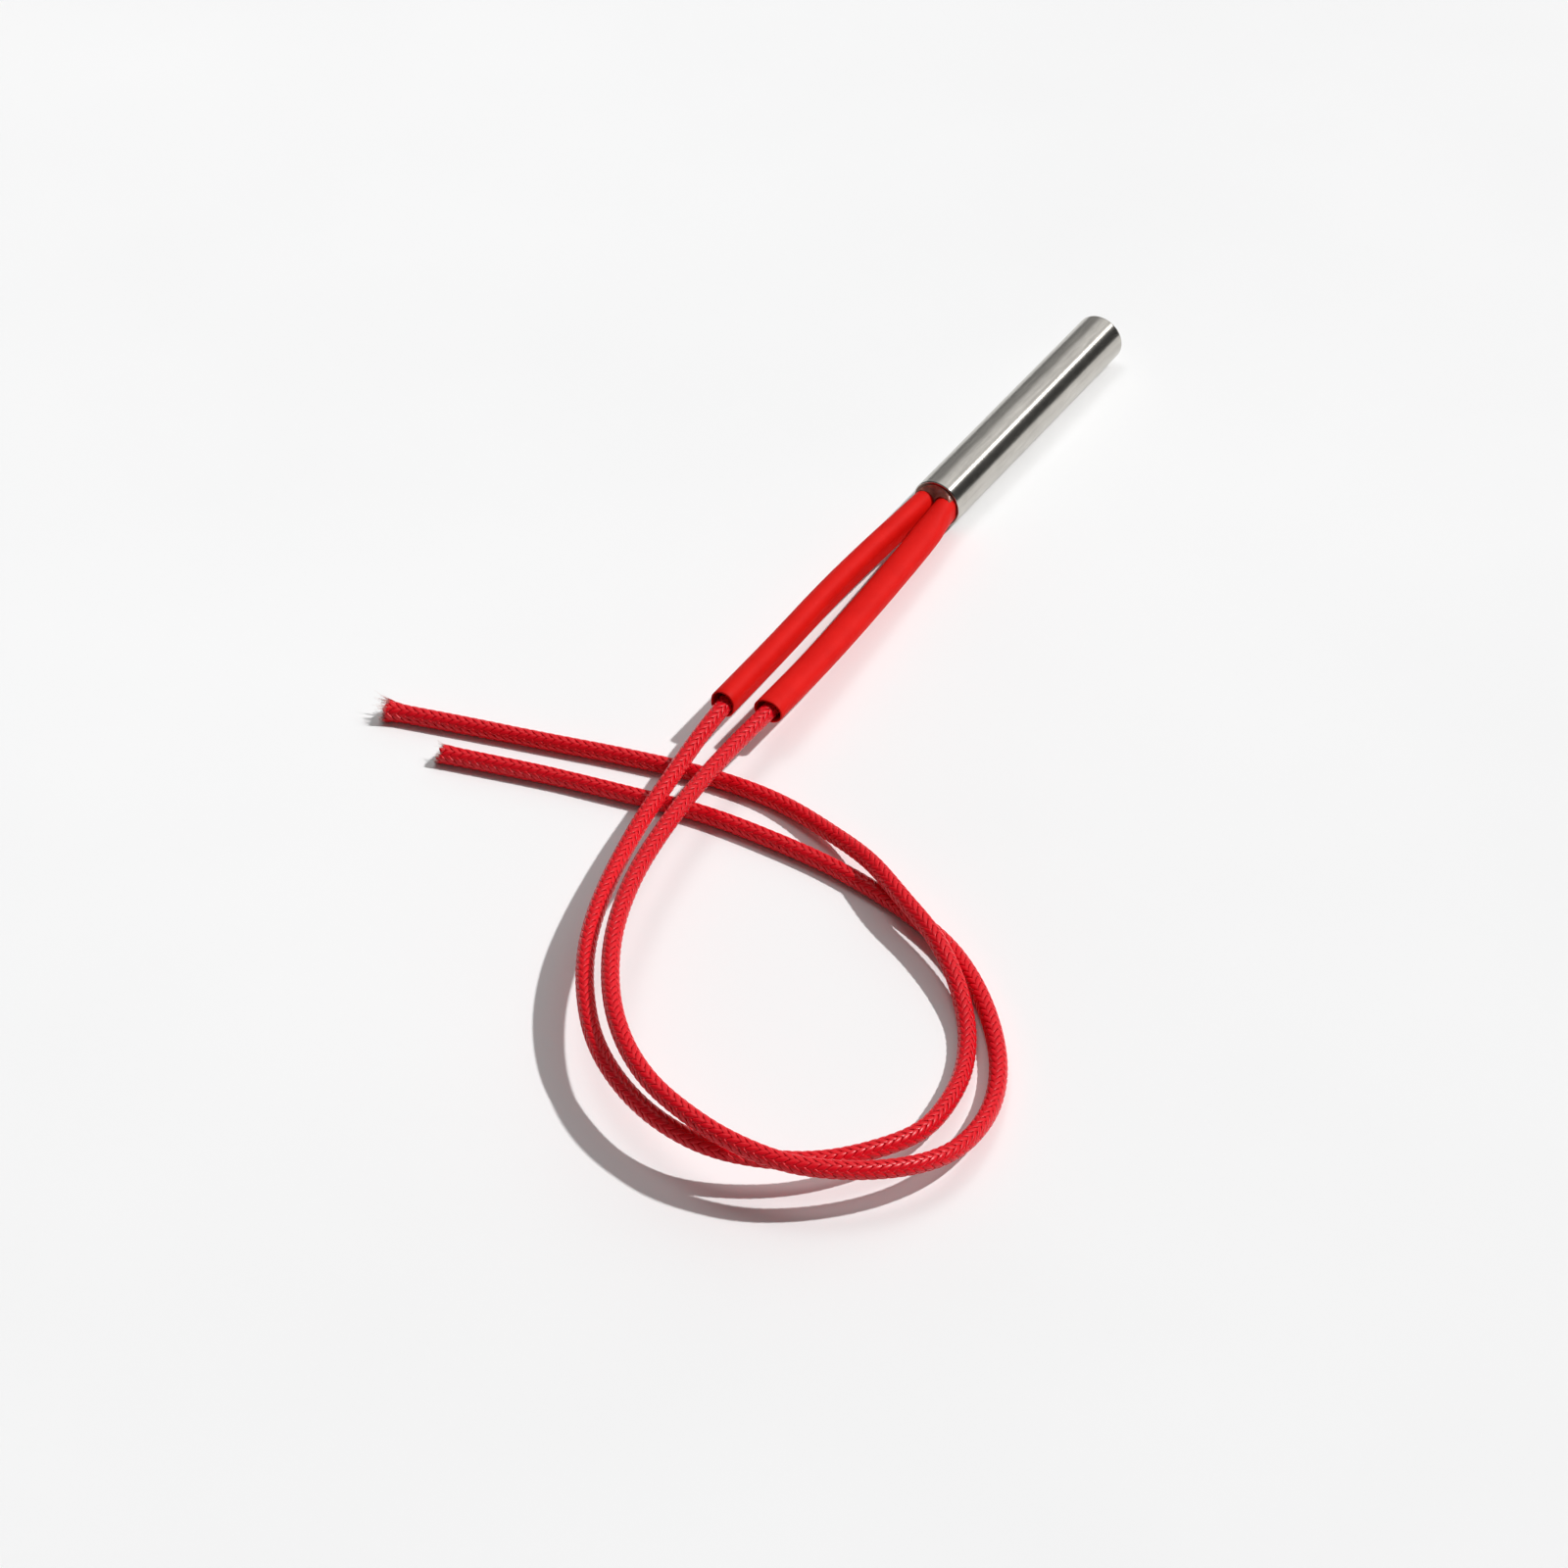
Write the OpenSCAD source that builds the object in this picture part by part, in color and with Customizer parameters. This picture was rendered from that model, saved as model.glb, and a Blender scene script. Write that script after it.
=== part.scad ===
// Cartridge heater: a steel sheath closed at one end, a wound ceramic core packed in magnesia,
// and two braided leads that leave the open mouth side by side in red sleeves.
// Millimetres, +Z up. The sheath lies along X on the floor, its closed end towards +X.

/* [Sheath] */
// Outside diameter of the sheath
sheath_d = 6; // [5.4:0.1:10]
// Length from the mouth to the closed end
sheath_l = 40; // [30:1:100]
// Wall of the sheath tube
sheath_wall = 0.4; // [0.3:0.05:0.5]
// Rounding of the closed end's edge
end_round = 0.35; // [0.1:0.05:0.45]
// Bevel on the rim of the mouth
mouth_bevel = 0.1; // [0.02:0.02:0.14]

/* [Closed end] */
// Thickness of the steel disc that closes the sheath
disc_t = 1.2; // [0.6:0.1:2]
// Depth of the disc below the end of the tube, filled at its edge by the weld
disc_recess = 0.3; // [0.15:0.05:0.6]
// Thickness of the insulating disc behind the steel one
far_disc_t = 1; // [0.5:0.1:2]

/* [Winding] */
// Thickness of the compacted magnesia round the winding
fill_t = 0.35; // [0.2:0.05:0.8]
// Diameter of the resistance wire
wire_d = 0.3; // [0.2:0.02:0.36]
// Full turns of the winding
turns = 20; // [8:1:24]
// Room past each end of the core for the tails of the winding
end_room = 0.8; // [0.6:0.1:1.5]

/* [Terminals] */
// Diameter of the terminal pins and of the leads' conductors
pin_d = 0.8; // [0.6:0.05:0.9]
// Distance between the pins' axes
pin_pitch = 1.6; // [1.5:0.05:1.8]
// Depth of the short pin in the core
short_pin_in = 6; // [3:0.5:9]
// Outside diameter of the crimp ferrules
crimp_d = 1.3; // [1.2:0.05:1.4]
// Length of the crimp ferrules
crimp_l = 4; // [2.5:0.5:6]
// Thickness of the terminal insulator's end wall
terminal_web = 0.8; // [0.4:0.1:1.5]

/* [Leads and seal] */
// Outside diameter of the braided leads
lead_d = 1.9; // [1.5:0.05:2.1]
// Length of lead that stands inside past its sleeve
lead_tail = 0.5; // [0.2:0.1:1]
// Bare conductor between a lead and its ferrule
bare_l = 2.2; // [1.6:0.1:4]
// How much wider two round sleeves are than the bore that they share
squeeze_by = 1; // [0.4:0.1:1.4]
// Wall of a sleeve
sleeve_wall = 0.2; // [0.15:0.05:0.3]
// Length over which a squeezed sleeve grows round again outside the mouth
squeeze_run = 18; // [10:1:24]
// Depth of the seal's face below the mouth
seal_recess = 0.4; // [0.2:0.1:2]
// Length of the seal beside the sleeves
seal_l = 3; // [1:0.5:6]
// Length of the seal behind the sleeves, where it closes round the leads
seal_back = 1; // [0.5:0.1:3]

/* [Fits] */
// Clearance all round between pieces that fit in each other
fit = 0.03; // [0.01:0.01:0.05]

/* [Hidden] */
$fn = 48;

axis_z = sheath_d / 2;
bore_d = sheath_d - 2 * sheath_wall;
edge_round = min(end_round, sheath_wall - fit);
// Overshoot of cutting tools past the face they cut
cut = 1;
// Straight length of a conductor at each end of its bend
conductor_straight = 0.4;
// Room between the long pin's end and the far insulator
pin_gap = 0.2;

// Stations along the axis, as depths from the mouth
sleeve_end = seal_recess + seal_l;
seal_end = sleeve_end + seal_back;
lead_end = seal_end + lead_tail;
terminal_start = lead_end + bare_l;
crimp_mid = terminal_start + crimp_l / 2;
crimp_end = terminal_start + crimp_l;
terminal_end = crimp_end + terminal_web;
core_start = terminal_end + end_room;
disc_end = sheath_l - disc_recess;
disc_start = disc_end - disc_t;
far_start = disc_start - far_disc_t;
core_end = far_start - end_room;

// Winding: its wire is a chain of straight steps whose middles clear the core
coil_steps = 12;
wire_sides = 6;
fill_bore_d = bore_d - 2 * (fit + fill_t);
coil_r = fill_bore_d / 2 - fit - wire_d / 2;
core_d = 2 * (coil_r * cos(180 / coil_steps) - wire_d / 2 - fit);
tail_r = pin_pitch / 2 + pin_d / 2 + wire_d / 2 + fit;
tail_turn = 90;
coil_sweep = 360 * turns + 180;

// Two sleeves share the bore: each is squeezed to a stadium of the same girth as its round section.
// Its corner arcs reach the bore when (share_a)w^2 + (share_b)w + share_c = 0 for the width w.
sleeve_d = (bore_d + squeeze_by) / 2;
bore_reach = bore_d / 2 - fit;
share_a = PI * PI / 16;
share_b = fit / 2 - PI * PI * sleeve_d / 8 + bore_reach;
share_c = fit * fit / 4 + PI * PI * sleeve_d * sleeve_d / 16 - bore_reach * bore_reach;
share_root = sqrt(max(0, share_b * share_b - 4 * share_a * share_c));
squeeze_w = min(sleeve_d, (share_root - share_b) / (2 * share_a));
lead_y = (squeeze_w + fit) / 2;
sleeve_sides = 20;
lead_sides = 8;

// Lead routes outside the mouth: distance along X from the mouth, Y, and height above the floor.
// The first stretch of each lies in its sleeve, the second runs free to the cut end.
sleeve_route_a = [
    [-2.4, 1.3, 3.1], [-11.7, 1.5, 3.4], [-21.1, 1.4, 3.8], [-33.5, 0.9, 4.2], [-45.4, 0.5, 4.7]
];
free_route_a = [
    [-50.3, 0.1, 4.6], [-54.2, -0.4, 4.5], [-59.4, -1.2, 4.4], [-64.2, -1.9, 4.3],
    [-69.9, -3.2, 4.5], [-75.8, -4.8, 4.7], [-81.3, -6.7, 4.9], [-86.6, -9.2, 5],
    [-91.6, -12.5, 5.1], [-96.2, -16.6, 5], [-99.7, -21.6, 4.9], [-102.1, -27.8, 4.8],
    [-102.3, -33.5, 4.4], [-100.7, -38, 3.9], [-97.8, -42.5, 3.4], [-93.2, -46.4, 3],
    [-88.3, -48.7, 2.5], [-82.6, -48.6, 1.9], [-76.7, -47, 1.1], [-71.8, -44.4, 1.1],
    [-67.9, -41.1, 1.9], [-63.9, -36.2, 2.8], [-61, -30.9, 3.2], [-57.4, -25, 2.8],
    [-54.4, -18.5, 1.6], [-52.3, -10.4, 1], [-52.6, -2.3, 1], [-54.3, 6.5, 1],
    [-56.6, 15.5, 1], [-58.9, 24.5, 1], [-61.3, 33.5, 1]
];
sleeve_route_b = [
    [-2.4, -1.4, 3.1], [-11.3, -2.4, 3.2], [-22.6, -3.3, 3.6], [-33.6, -4, 4.2], [-44.1, -4.4, 4.9]
];
free_route_b = [
    [-50.1, -4.4, 5.1], [-58.9, -5, 5.7], [-67.6, -6.2, 6.3], [-76.3, -8.1, 6.8],
    [-84.7, -11.3, 7.1], [-89.7, -14.2, 7.2], [-94.3, -17.8, 7.3], [-97.9, -21.8, 7.3],
    [-100.4, -26.1, 7.2], [-101.8, -30.5, 7.1], [-102.5, -34.5, 6.9], [-102.3, -38.4, 6.4],
    [-101.5, -42, 5.9], [-99.8, -45.2, 5.4], [-97.5, -48.1, 4.8], [-94.5, -50.7, 4.1],
    [-90.6, -52.6, 3.2], [-85, -53, 2.1], [-79.6, -51.9, 1.3], [-74.7, -49.6, 1],
    [-70.4, -46.4, 1], [-66.2, -42.2, 1], [-62.9, -37.5, 1], [-60.8, -32.4, 1],
    [-59.3, -26.9, 1], [-58.3, -21, 1], [-57.9, -13.6, 1], [-58.1, -5, 1],
    [-59.6, 3.8, 1], [-61.3, 12.5, 1], [-62.8, 18.5, 1], [-64.3, 24.5, 1]
];

// A depth from the mouth, with a place across the axis, as a point of the part
function inside(depth, y) = [depth - sheath_l / 2, y, axis_z];
function outside(route) = [for (p = route) [p[0] - sheath_l / 2, p[1], p[2]]];
function sleeve_path(y, route) = concat([inside(sleeve_end, y), inside(0, y)], outside(route));
function lead_path(y, route, free) =
    concat([inside(lead_end, y)], sleeve_path(y, route), outside(free));

// How far a sleeve is squeezed at a point: 1 at the mouth and inside, 0 where it is round
function squeeze(p) =
    let (run = min(1, max(0, (-sheath_l / 2 - p[0]) / squeeze_run)))
    1 - run * run * (3 - 2 * run);
function sleeve_w(p) = sleeve_d + (squeeze_w - sleeve_d) * squeeze(p);
function lead_w(p) = min(lead_d, sleeve_w(p) - 2 * sleeve_wall - 2 * fit);
// Height of a stadium of width w whose girth is that of a circle of diameter d
function stadium_h(w, d) = w + PI * (d - w) / 2;

// Outline of a stadium standing upright, round when h equals w
function stadium(w, h, sides) = [
    for (k = [0 : sides - 1])
        let (a = (k + 0.5) * 360 / sides)
        [w / 2 * cos(a), w / 2 * sin(a) + sign(sin(a)) * (h - w) / 2]
];

function unit(v) = v / norm(v);
function tangent(path, i) = unit(path[min(i + 1, len(path) - 1)] - path[max(i - 1, 0)]);
function ring(p, t, outline) =
    let (across = unit(cross([0, 0, 1], t)), up = cross(t, across))
    [for (q = outline) p + q[0] * across + q[1] * up];

// Triangles of a skin over rings of n points, facing outwards
function skin(rings, n) = [
    for (i = [0 : rings - 2], k = [0 : n - 1])
        let (a = i * n + k, b = i * n + (k + 1) % n)
        each [[a, a + n, b + n], [a, b + n, b]]
];
function shifted(faces, by) = [for (f = faces) [for (v = f) v + by]];
function flipped(faces) = [for (f = faces) [f[0], f[2], f[1]]];

// A solid rod through a list of rings of n points
module rod(rings, n) {
    last = (len(rings) - 1) * n;
    polyhedron(
        points = [for (r = rings) each r],
        faces = concat(
            skin(len(rings), n),
            [[for (k = [0 : n - 1]) k], [for (k = [n - 1 : -1 : 0]) last + k]]
        )
    );
}

// A tube between outer and inner rings of n points each
module tube(outer, inner, n) {
    count = len(outer) * n;
    last = count - n;
    rims = [
        for (k = [0 : n - 1])
            let (a = k, b = (k + 1) % n)
            each [
                [a, b, b + count], [a, b + count, a + count],
                [last + a, last + b + count, last + b], [last + a, last + a + count, last + b + count]
            ]
    ];
    polyhedron(
        points = concat([for (r = outer) each r], [for (r = inner) each r]),
        faces = concat(skin(len(outer), n), shifted(flipped(skin(len(outer), n)), count), rims)
    );
}

// Places a shape that stands along Z at a depth from the mouth, along the axis
module seated(depth, y = 0) {
    translate(inside(depth, y)) rotate([0, 90, 0]) children();
}

module lead(y, route, free) {
    path = lead_path(y, route, free);
    rings = [
        for (i = [0 : len(path) - 1])
            let (w = lead_w(path[i]))
            ring(path[i], tangent(path, i), stadium(w, stadium_h(w, lead_d), lead_sides))
    ];
    rod(rings, lead_sides);
}

module sleeve(y, route) {
    path = sleeve_path(y, route);
    walls = [
        for (inset = [0, sleeve_wall]) [
            for (i = [0 : len(path) - 1])
                let (w = sleeve_w(path[i]), h = stadium_h(w, sleeve_d))
                ring(path[i], tangent(path, i), stadium(w - 2 * inset, h - 2 * inset, sleeve_sides))
        ]
    ];
    tube(walls[0], walls[1], sleeve_sides);
}

// Stripped end of a lead, which bends in to its ferrule
module conductor(side) {
    y = side * lead_y;
    pin_y = side * pin_pitch / 2;
    path = [
        inside(lead_end, y), inside(lead_end + conductor_straight, y),
        inside(terminal_start - conductor_straight, pin_y), inside(crimp_mid - fit, pin_y)
    ];
    rings = [
        for (i = [0 : len(path) - 1])
            ring(path[i], tangent(path, i), stadium(pin_d, pin_d, lead_sides))
    ];
    rod(rings, lead_sides);
}

module crimp(side) {
    seated(terminal_start, side * pin_pitch / 2)
        difference() {
            cylinder(d = crimp_d, h = crimp_l);
            translate([0, 0, -cut]) cylinder(d = pin_d + 2 * fit, h = crimp_l + 2 * cut);
        }
}

module pin(side, end) {
    seated(crimp_mid + fit, side * pin_pitch / 2) cylinder(d = pin_d, h = end - crimp_mid - fit);
}

// Holes for both pins through a body of length l that starts at the origin
module pin_holes(l) {
    for (side = [-1, 1])
        translate([0, side * pin_pitch / 2, -cut]) cylinder(d = pin_d + 2 * fit, h = l + 2 * cut);
}

module sheath() {
    color([0.72, 0.71, 0.69]) seated(0) difference() {
        rotate_extrude() {
            translate([0, mouth_bevel]) square([sheath_d / 2, sheath_l - edge_round - mouth_bevel]);
            square([sheath_d / 2 - edge_round, sheath_l]);
            translate([sheath_d / 2 - edge_round, sheath_l - edge_round]) circle(r = edge_round);
            polygon([
                [0, 0], [sheath_d / 2 - mouth_bevel, 0],
                [sheath_d / 2, mouth_bevel], [0, mouth_bevel]
            ]);
        }
        translate([0, 0, -cut]) cylinder(d = bore_d, h = sheath_l + 2 * cut);
    }
}

module end_disc() {
    color([0.66, 0.65, 0.63]) seated(disc_start) cylinder(d = bore_d - 2 * fit, h = disc_t);
}

// Hollow fillet of weld metal between the disc and the tube
module weld_bead() {
    bead_r = bore_d / 2 - fit;
    color([0.6, 0.59, 0.57]) seated(disc_end) rotate_extrude() difference() {
        translate([bead_r - disc_recess, 0]) square([disc_recess, disc_recess]);
        translate([bead_r - disc_recess, disc_recess]) circle(r = disc_recess - fit);
    }
}

module far_insulator() {
    color([0.93, 0.92, 0.88]) seated(far_start) cylinder(d = bore_d - 2 * fit, h = far_disc_t);
}

module core() {
    core_l = core_end - core_start;
    color([0.95, 0.94, 0.9]) seated(core_start) difference() {
        cylinder(d = core_d, h = core_l);
        pin_holes(core_l);
    }
}

// Resistance wire: it leaves the short pin, winds along the core and ends at the long pin
module heating_coil() {
    near = core_start - end_room / 2;
    far = core_end + end_room / 2;
    steps = coil_sweep / 360 * coil_steps;
    rings = [
        for (i = [0 : steps])
            let (
                a = i * 360 / coil_steps,
                tail = min(1, a / tail_turn, (coil_sweep - a) / tail_turn),
                r = tail_r + (coil_r - tail_r) * tail,
                along = min(1, max(0, (a - tail_turn) / (coil_sweep - 2 * tail_turn))),
                centre = inside(near + (far - near) * along, 0),
                radial = [0, cos(a), sin(a)]
            )
            [
                for (q = stadium(wire_d, wire_d, wire_sides))
                    centre + (r + q[0]) * radial - [q[1], 0, 0]
            ]
    ];
    color([0.5, 0.45, 0.4]) rod(rings, wire_sides);
}

// Compacted powder between the winding and the sheath
module magnesia_fill() {
    fill_l = far_start - terminal_end;
    color([0.9, 0.89, 0.86]) seated(terminal_end) difference() {
        cylinder(d = bore_d - 2 * fit, h = fill_l);
        translate([0, 0, -cut]) cylinder(d = fill_bore_d, h = fill_l + 2 * cut);
    }
}

module long_pin() {
    color([0.7, 0.68, 0.62]) pin(-1, far_start - pin_gap);
}

module short_pin() {
    color([0.7, 0.68, 0.62]) pin(1, core_start + short_pin_in);
}

// Two-hole ceramic bead that keeps the ferrules apart and off the sheath
module terminal_insulator() {
    body_l = terminal_end - terminal_start;
    color([0.94, 0.92, 0.86]) seated(terminal_start) difference() {
        cylinder(d = bore_d - 2 * fit, h = body_l);
        pin_holes(body_l);
        for (side = [-1, 1])
            translate([0, side * pin_pitch / 2, -cut]) cylinder(d = crimp_d + 2 * fit, h = crimp_l + cut);
    }
}

module crimp_a() { color([0.75, 0.74, 0.7]) crimp(1); }
module crimp_b() { color([0.75, 0.74, 0.7]) crimp(-1); }
module conductor_a() { color([0.78, 0.6, 0.45]) conductor(1); }
module conductor_b() { color([0.78, 0.6, 0.45]) conductor(-1); }
module lead_a() { color([0.75, 0.05, 0.08]) lead(lead_y, sleeve_route_a, free_route_a); }
module lead_b() { color([0.75, 0.05, 0.08]) lead(-lead_y, sleeve_route_b, free_route_b); }
module sleeve_a() { color([0.87, 0.07, 0.06]) sleeve(lead_y, sleeve_route_a); }
module sleeve_b() { color([0.87, 0.07, 0.06]) sleeve(-lead_y, sleeve_route_b); }

// Upright slot for a squeezed sleeve, open towards the bore where the sleeve reaches it
module sleeve_slot(side) {
    slot_w = squeeze_w + 2 * fit;
    arc_x = (stadium_h(squeeze_w, sleeve_d) - squeeze_w) / 2;
    translate([0, side * lead_y]) {
        square([2 * arc_x, slot_w], center = true);
        for (end = [-1, 1]) translate([end * arc_x, 0]) circle(d = slot_w);
        if (squeeze_w < sleeve_d)
            translate([0, side * slot_w / 2]) square([2 * arc_x + slot_w / 2, slot_w], center = true);
    }
}

// Hole for a lead behind its sleeve, drawn out upright where the lead is squeezed too
module lead_slot(side) {
    w = lead_w(inside(sleeve_end, 0));
    arc_x = (stadium_h(w, lead_d) - w) / 2;
    translate([0, side * lead_y]) {
        circle(d = w + 2 * fit);
        if (w < lead_d) {
            square([2 * arc_x, w + 2 * fit], center = true);
            for (end = [-1, 1]) translate([end * arc_x, 0]) circle(d = w + 2 * fit);
        }
    }
}

// Cast seal: above and below the sleeves in the mouth, and round the leads behind them
module seal_plug() {
    seal_d = bore_d - 2 * fit;
    color([0.36, 0.12, 0.09]) {
        seated(seal_recess) linear_extrude(seal_l + seal_back / 2) difference() {
            circle(d = seal_d);
            for (side = [-1, 1]) sleeve_slot(side);
        }
        seated(sleeve_end) linear_extrude(seal_back) difference() {
            circle(d = seal_d);
            for (side = [-1, 1]) lead_slot(side);
        }
    }
}

sheath();
end_disc();
weld_bead();
far_insulator();
core();
heating_coil();
magnesia_fill();
long_pin();
short_pin();
terminal_insulator();
crimp_a();
crimp_b();
conductor_a();
conductor_b();
lead_a();
lead_b();
sleeve_a();
sleeve_b();
seal_plug();
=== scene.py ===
import math
import random

import bpy
import numpy as np
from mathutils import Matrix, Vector


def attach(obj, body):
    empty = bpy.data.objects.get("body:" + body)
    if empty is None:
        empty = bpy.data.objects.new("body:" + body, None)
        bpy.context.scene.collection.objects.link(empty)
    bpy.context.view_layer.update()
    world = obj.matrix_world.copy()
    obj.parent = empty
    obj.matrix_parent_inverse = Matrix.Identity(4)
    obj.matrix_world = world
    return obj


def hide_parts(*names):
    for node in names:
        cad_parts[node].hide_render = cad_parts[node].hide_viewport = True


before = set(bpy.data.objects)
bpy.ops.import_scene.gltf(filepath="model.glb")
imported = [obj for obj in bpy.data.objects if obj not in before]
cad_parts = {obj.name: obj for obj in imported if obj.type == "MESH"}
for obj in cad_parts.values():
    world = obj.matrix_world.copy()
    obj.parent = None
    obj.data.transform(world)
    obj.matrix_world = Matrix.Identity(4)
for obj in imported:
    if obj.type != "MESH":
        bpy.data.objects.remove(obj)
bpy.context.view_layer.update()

MM = 0.001
rng = random.Random(7)

# Camera and light
CAMERA_AT = (-354.6 * MM, -183.0 * MM, 280.9 * MM)
LOOK_AT = (-68.5 * MM, -9.1 * MM, 0.0)
LENS_MM = 94.5
SENSOR_MM = 36.0
CLIP_START = 0.01
TO_LIGHT = (0.4235, -0.4774, 0.770)
SUN_POWER = 2.76
SUN_ANGLE_DEG = 2.0
SOFT_BOX_AT = (0.03, 0.16, 0.60)
SOFT_BOX_SIZE = 0.26
SOFT_BOX_POWER = 0.5


def turned_to_view(at):
    """Rotation of a camera or lamp at a place, so that it faces the middle of the view."""
    return (Vector(LOOK_AT) - Vector(at)).to_track_quat("-Z", "Y").to_euler()


camera_data = bpy.data.cameras.new("camera")
camera_data.lens = LENS_MM
camera_data.sensor_width = SENSOR_MM
camera_data.clip_start = CLIP_START
camera = bpy.data.objects.new("camera", camera_data)
camera.location = CAMERA_AT
camera.rotation_euler = turned_to_view(CAMERA_AT)
bpy.context.scene.collection.objects.link(camera)
bpy.context.scene.camera = camera
bpy.context.scene.view_settings.view_transform = "Standard"

sun_data = bpy.data.lights.new("key", "SUN")
sun_data.energy = SUN_POWER
sun_data.angle = math.radians(SUN_ANGLE_DEG)
sun = bpy.data.objects.new("key", sun_data)
sun.rotation_euler = Vector(TO_LIGHT).to_track_quat("Z", "Y").to_euler()
bpy.context.scene.collection.objects.link(sun)

soft_data = bpy.data.lights.new("soft_box", "AREA")
soft_data.shape = "DISK"
soft_data.size = SOFT_BOX_SIZE
soft_data.energy = SOFT_BOX_POWER
soft_box = bpy.data.objects.new("soft_box", soft_data)
soft_box.location = SOFT_BOX_AT
soft_box.rotation_euler = turned_to_view(SOFT_BOX_AT)
bpy.context.scene.collection.objects.link(soft_box)


# Node helpers
def material(name):
    mat = bpy.data.materials.new(name)
    mat.use_nodes = True
    return mat, mat.node_tree, mat.node_tree.nodes["Principled BSDF"]


def node(tree, kind, settings=(), **inputs):
    made = tree.nodes.new(kind)
    for key, value in dict(settings).items():
        setattr(made, key, value)
    for key, value in inputs.items():
        set_input(tree, made.inputs[key.replace("_", " ")], value)
    return made


def set_input(tree, socket, value):
    if isinstance(value, bpy.types.NodeSocket):
        tree.links.new(value, socket)
    else:
        socket.default_value = value


def math_node(tree, op, a, b=0.0):
    made = tree.nodes.new("ShaderNodeMath")
    made.operation = op
    set_input(tree, made.inputs[0], a)
    set_input(tree, made.inputs[1], b)
    return made.outputs[0]


def ramp(tree, fac, stops):
    """A colour ramp; a stop has a colour, or one number for a grey."""
    made = tree.nodes.new("ShaderNodeValToRGB")
    elements = made.color_ramp.elements
    while len(elements) > 1:
        elements.remove(elements[-1])
    for i, (place, colour) in enumerate(stops):
        if i == 0:
            elements[0].position = place
            element = elements[0]
        else:
            element = elements.new(place)
        element.color = (colour, colour, colour, 1.0) if isinstance(colour, float) else (*colour, 1.0)
    set_input(tree, made.inputs[0], fac)
    return made.outputs[0]


def map_range(tree, value, low, high, to_low, to_high):
    made = tree.nodes.new("ShaderNodeMapRange")
    set_input(tree, made.inputs[0], value)
    for socket, number in zip(list(made.inputs)[1:5], (low, high, to_low, to_high)):
        socket.default_value = number
    return made.outputs[0]


def object_mm(tree, scale=(1000.0, 1000.0, 1000.0)):
    """Object coordinates in millimetres, stretched by axis."""
    coords = tree.nodes.new("ShaderNodeTexCoord")
    mapping = tree.nodes.new("ShaderNodeMapping")
    mapping.inputs["Scale"].default_value = scale
    tree.links.new(coords.outputs["Object"], mapping.inputs["Vector"])
    return mapping.outputs["Vector"]


def noise(tree, vector, scale, detail=3.0, rough=0.55):
    made = node(tree, "ShaderNodeTexNoise", Vector=vector, Scale=scale, Detail=detail, Roughness=rough)
    return made.outputs["Fac"]


def bump(tree, height, strength, distance_mm):
    made = node(tree, "ShaderNodeBump", Strength=strength, Distance=distance_mm * MM, Height=height)
    return made.outputs["Normal"]


# World: a soft overhead panel that runs along the sheath, dark low on the right
# Brightness of the panel by how far a direction leans to the right, from LEAN_MAX left to LEAN_MAX right
LEAN_MAX = 2.0
PANEL = [
    (0.0, 0.42), (0.18, 0.35), (0.30, 0.37), (0.44, 0.92), (0.54, 1.0), (0.58, 0.70), (0.65, 0.62),
    (0.71, 0.08), (1.0, 0.06),
]
LOWEST = 0.02
# Each as a range of a direction's part and the range of brightness that it becomes
ABOVE = (0.0, 0.35, 0.0, 1.0)
FAR_SIDE = (0.1, 0.6, 0.15, 1.0)
LOW = (-0.6, 0.4, 0.32, 0.06)

world = bpy.data.worlds.new("studio")
bpy.context.scene.world = world
world.use_nodes = True
wt = world.node_tree
background = wt.nodes["Background"]
direction = node(wt, "ShaderNodeSeparateXYZ", Vector=node(wt, "ShaderNodeTexCoord").outputs["Generated"])
dx, dy, dz = direction.outputs
height = math_node(wt, "MAXIMUM", dz, LOWEST)
lean = math_node(wt, "DIVIDE", math_node(wt, "MULTIPLY", dy, -1.0), height)
panel = ramp(wt, map_range(wt, lean, -LEAN_MAX, LEAN_MAX, 0.0, 1.0), PANEL)
above = map_range(wt, dz, *ABOVE)
far_side = map_range(wt, dx, *FAR_SIDE)
level = math_node(wt, "MULTIPLY", math_node(wt, "MULTIPLY", panel, far_side), above)
low = map_range(wt, dx, *LOW)
glow = math_node(wt, "ADD", level, math_node(wt, "MULTIPLY", low, math_node(wt, "SUBTRACT", 1.0, above)))
set_input(wt, background.inputs["Color"], glow)

# Floor
FLOOR_HALF = 3.0
floor_mesh = bpy.data.meshes.new("floor")
corners = [(-1, -1), (1, -1), (1, 1), (-1, 1)]
floor_mesh.from_pydata([(x * FLOOR_HALF, y * FLOOR_HALF, 0.0) for x, y in corners], [], [(0, 1, 2, 3)])
floor = bpy.data.objects.new("floor", floor_mesh)
bpy.context.scene.collection.objects.link(floor)
floor_mat, ft, fb = material("floor_white")
set_input(ft, fb.inputs["Base Color"], ramp(
    ft, noise(ft, object_mm(ft), 0.01), [(0.3, (0.90, 0.90, 0.90)), (0.7, (0.93, 0.93, 0.93))]))
fb.inputs["Roughness"].default_value = 0.8
fb.inputs["Specular IOR Level"].default_value = 0.1
floor_mesh.materials.append(floor_mat)

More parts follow.
